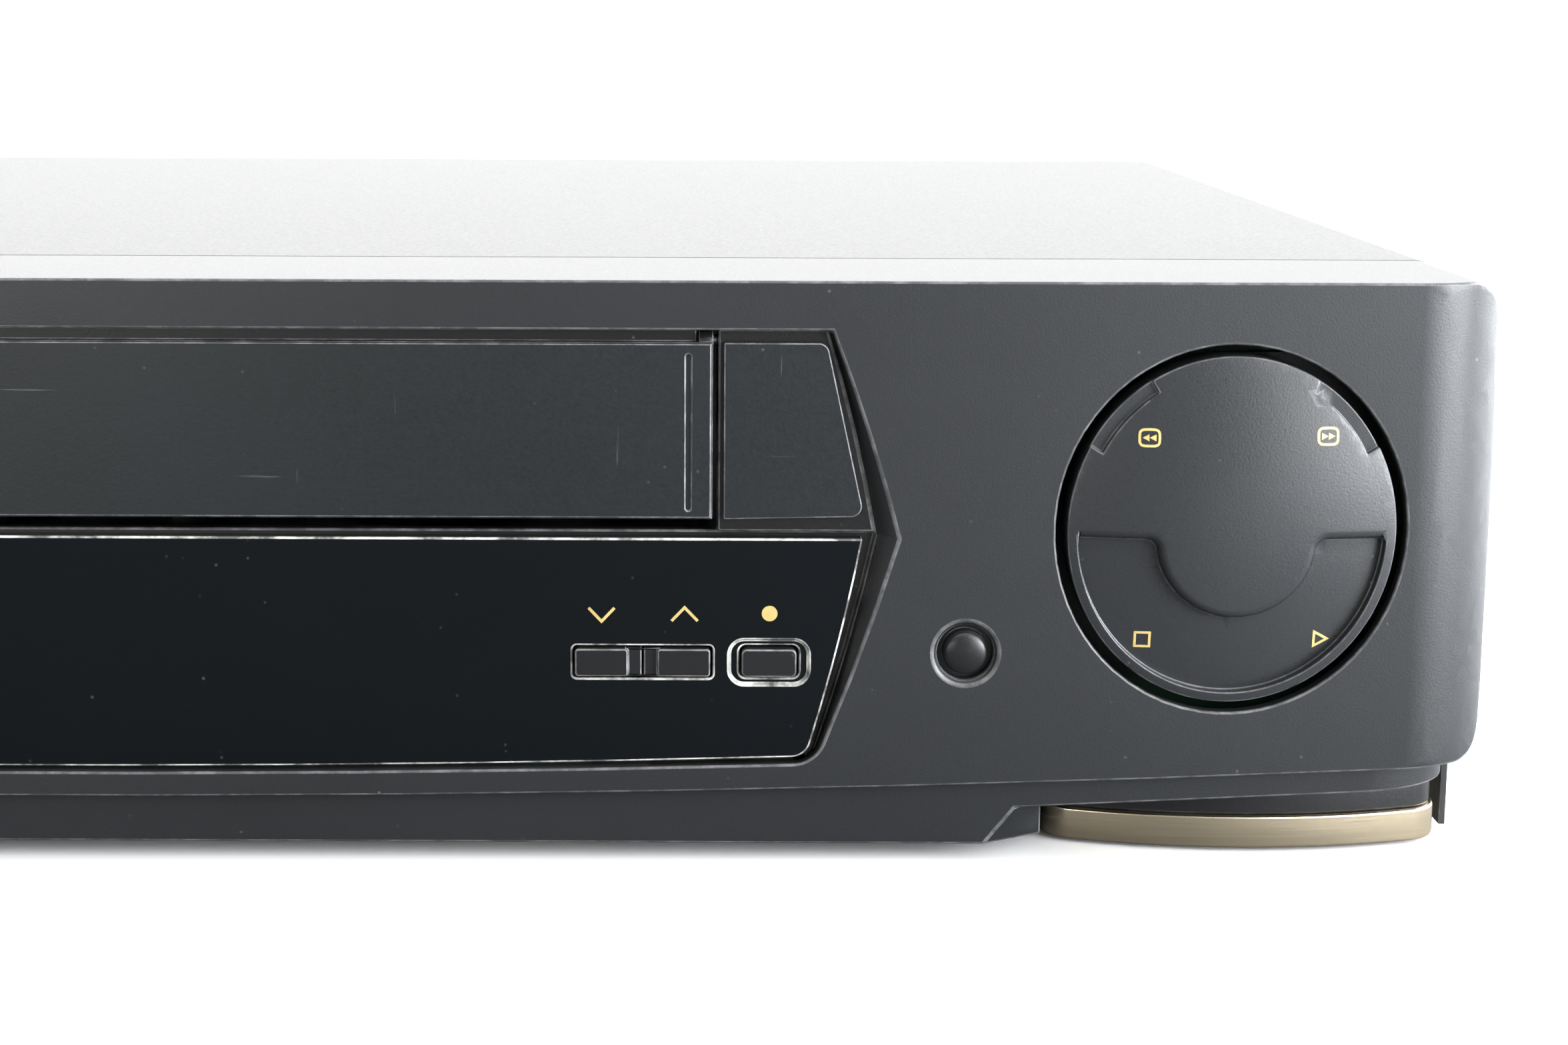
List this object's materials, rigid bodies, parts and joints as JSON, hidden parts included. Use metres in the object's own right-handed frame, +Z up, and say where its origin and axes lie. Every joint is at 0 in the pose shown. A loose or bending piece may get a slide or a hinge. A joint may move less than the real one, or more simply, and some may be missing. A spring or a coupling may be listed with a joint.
{
  "type": "video cassette recorder",
  "caption": "Front-loading video cassette recorder with an inward-swinging flap, dark display window, press keys and an oval four-way dial.",
  "frame": {"origin": "Middle of the footprint on the surface the recorder stands on", "axes": "+X to the right seen from the front, +Y from front to back, +Z up"},
  "size_m": [0.43, 0.3009, 0.0865],
  "materials": {
    "charcoal_plastic": "fine textured",
    "flap_plastic": "fine textured",
    "smoked_window": "gloss, near black",
    "key_plastic": "satin",
    "dial_plastic": "satin",
    "gold_shell": "brushed champagne",
    "black_plastic": "matte",
    "rubber": "matte",
    "cover_paint": "satin silver grey",
    "sheet_steel": "zinc plated",
    "screw_steel": "blackened",
    "cast_deck": "cast",
    "turned_aluminium": "turned",
    "roller_rubber": "matte",
    "white_plastic": "matte",
    "board_green": "lacquered",
    "display_glass": "gloss",
    "ribbon": "satin",
    "laminated_core": "varnished"
  },
  "bodies": {
    "chassis": {"front_panel": "charcoal_plastic", "display_window": "smoked_window", "side_plate_right": "flap_plastic", "side_plate_left": "flap_plastic", "dial_cradle": "black_plastic", "front_board": "board_green", "display_module": "display_glass", "ribbon_cable": "ribbon", "front_bracket": "sheet_steel", "bezel_screws": "screw_steel", "top_cover": "cover_paint", "cover_screws": "screw_steel", "base_tray": "sheet_steel", "rear_panel": "sheet_steel", "foot_shells": "gold_shell", "foot_rings": "black_plastic", "foot_pads": "rubber", "rear_feet": "rubber", "deck_chassis": "cast_deck", "audio_control_head": "sheet_steel", "erase_head": "sheet_steel", "lower_drum": "turned_aluminium", "capstan_stator": "board_green", "loading_motor": "sheet_steel", "loading_belt": "rubber", "carriage_side_right": "sheet_steel", "carriage_side_left": "sheet_steel", "main_board": "board_green", "supply_board": "board_green", "heat_sink": "turned_aluminium", "mains_transformer": "laminated_core", "tuner_can": "sheet_steel", "scart_sockets": "black_plastic", "phono_sockets": "white_plastic", "socket_board": "board_green", "mains_inlet": "black_plastic"},
    "flap": {"cassette_flap": "flap_plastic"},
    "channel_down": {"channel_down_button": "key_plastic"},
    "channel_up": {"channel_up_button": "key_plastic"},
    "record": {"record_button": "key_plastic"},
    "timer": {"timer_button": "key_plastic"},
    "power": {"power_button": "key_plastic"},
    "eject": {"eject_button": "key_plastic"},
    "gimbal": {"dial_gimbal": "white_plastic"},
    "dial": {"transport_dial": "dial_plastic"},
    "supply": {"supply_reel": "black_plastic"},
    "takeup": {"takeup_reel": "black_plastic"},
    "idler": {"idler_arm": "sheet_steel"},
    "idler_disc": {"idler_wheel": "white_plastic"},
    "pinch": {"pinch_arm": "sheet_steel"},
    "roller": {"pinch_roller": "roller_rubber"},
    "tension": {"tension_arm": "sheet_steel"},
    "guide_right": {"tape_guide_right": "turned_aluminium"},
    "guide_left": {"tape_guide_left": "turned_aluminium"},
    "head_drum": {"upper_drum": "turned_aluminium"},
    "capstan": {"capstan_rotor": "sheet_steel"},
    "cam": {"cam_wheel": "white_plastic"},
    "pulley": {"loading_pulley": "white_plastic"},
    "sledge": {"carriage_sledge": "sheet_steel"},
    "holder": {"cassette_holder": "sheet_steel"}
  },
  "joints": [
    {"name": "flap_hinge", "type": "hinge", "parent": "chassis", "child": "flap", "pos_m": [0, -0.14415, 0.0776], "axis": [1, 0, 0], "range_deg": [0, 90], "stiffness_Nm_per_rad": 0.01},
    {"name": "channel_down_press", "type": "slide", "parent": "chassis", "child": "channel_down", "axis": [0, 1, 0], "range_m": [0, 0.0012], "stiffness_N_per_m": 400},
    {"name": "channel_up_press", "type": "slide", "parent": "chassis", "child": "channel_up", "axis": [0, 1, 0], "range_m": [0, 0.0012], "stiffness_N_per_m": 400},
    {"name": "record_press", "type": "slide", "parent": "chassis", "child": "record", "axis": [0, 1, 0], "range_m": [0, 0.0012], "stiffness_N_per_m": 400},
    {"name": "timer_press", "type": "slide", "parent": "chassis", "child": "timer", "axis": [0, 1, 0], "range_m": [0, 0.0012], "stiffness_N_per_m": 400},
    {"name": "power_press", "type": "slide", "parent": "chassis", "child": "power", "axis": [0, 1, 0], "range_m": [0, 0.0012], "stiffness_N_per_m": 400},
    {"name": "eject_press", "type": "slide", "parent": "chassis", "child": "eject", "axis": [0, 1, 0], "range_m": [0, 0.0012], "stiffness_N_per_m": 400},
    {"name": "dial_rock_play", "type": "hinge", "parent": "chassis", "child": "gimbal", "pos_m": [0.1745, -0.13655, 0.0506], "axis": [0.7071, 0, 0.7071], "range_deg": [-3, 3], "stiffness_Nm_per_rad": 0.6},
    {"name": "dial_rock_stop", "type": "hinge", "parent": "gimbal", "child": "dial", "pos_m": [0.1745, -0.13655, 0.0506], "axis": [0.7071, 0, -0.7071], "range_deg": [-3, 3], "stiffness_Nm_per_rad": 0.6},
    {"name": "supply_spin", "type": "hinge", "parent": "chassis", "child": "supply", "pos_m": [-0.045, -0.00955, 0.03], "axis": [0, 0, 1], "continuous": true},
    {"name": "takeup_spin", "type": "hinge", "parent": "chassis", "child": "takeup", "pos_m": [0.045, -0.00955, 0.03], "axis": [0, 0, 1], "continuous": true},
    {"name": "idler_swing", "type": "hinge", "parent": "chassis", "child": "idler", "pos_m": [0, -0.03555, 0.026], "axis": [0, 0, 1], "range_deg": [-25, 25]},
    {"name": "idler_spin", "type": "hinge", "parent": "idler", "child": "idler_disc", "pos_m": [0, -0.01355, 0.028], "axis": [0, 0, 1], "continuous": true},
    {"name": "pinch_swing", "type": "hinge", "parent": "chassis", "child": "pinch", "pos_m": [0.09, 0.08145, 0.032], "axis": [0, 0, 1], "range_deg": [-30, 0]},
    {"name": "roller_spin", "type": "hinge", "parent": "pinch", "child": "roller", "pos_m": [0.08739, 0.05156, 0.038], "axis": [0, 0, 1], "continuous": true},
    {"name": "tension_swing", "type": "hinge", "parent": "chassis", "child": "tension", "pos_m": [-0.07, 0.05845, 0.028], "axis": [0, 0, 1], "range_deg": [-10, 10], "stiffness_Nm_per_rad": 0.02},
    {"name": "drum_spin", "type": "hinge", "parent": "chassis", "child": "head_drum", "pos_m": [0, 0.07445, 0.03], "axis": [0, 0.1045, 0.9945], "continuous": true},
    {"name": "capstan_spin", "type": "hinge", "parent": "chassis", "child": "capstan", "pos_m": [0.0656, 0.06195, 0.03], "axis": [0, 0, 1], "continuous": true},
    {"name": "cam_turn", "type": "hinge", "parent": "chassis", "child": "cam", "pos_m": [-0.062, 0.08845, 0.028], "axis": [0, 0, 1], "range_deg": [0, 200]},
    {"name": "pulley_spin", "type": "hinge", "parent": "chassis", "child": "pulley", "pos_m": [-0.095, 0.07445, 0.028], "axis": [0, 0, 1], "range_deg": [0, 700]},
    {"name": "guide_right_slide", "type": "slide", "parent": "chassis", "child": "guide_right", "axis": [0.1821, 0.9833, 0], "range_m": [0, 0.05492]},
    {"name": "guide_left_slide", "type": "slide", "parent": "chassis", "child": "guide_left", "axis": [-0.1821, 0.9833, 0], "range_m": [0, 0.05492]},
    {"name": "carriage_slide", "type": "slide", "parent": "chassis", "child": "sledge", "axis": [0, 1, 0], "range_m": [0, 0.052]},
    {"name": "holder_drop", "type": "slide", "parent": "sledge", "child": "holder", "axis": [0, 0, -1], "range_m": [0, 0.022]}
  ],
  "couplings": [
    {"joint": "guide_left_slide", "follows": "guide_right_slide", "ratio": 1},
    {"joint": "cam_turn", "follows": "guide_right_slide", "rad_per_m": 63.561},
    {"joint": "pinch_swing", "follows": "guide_right_slide", "rad_per_m": -9.5341},
    {"joint": "pulley_spin", "follows": "guide_right_slide", "rad_per_m": 222.46}
  ]
}
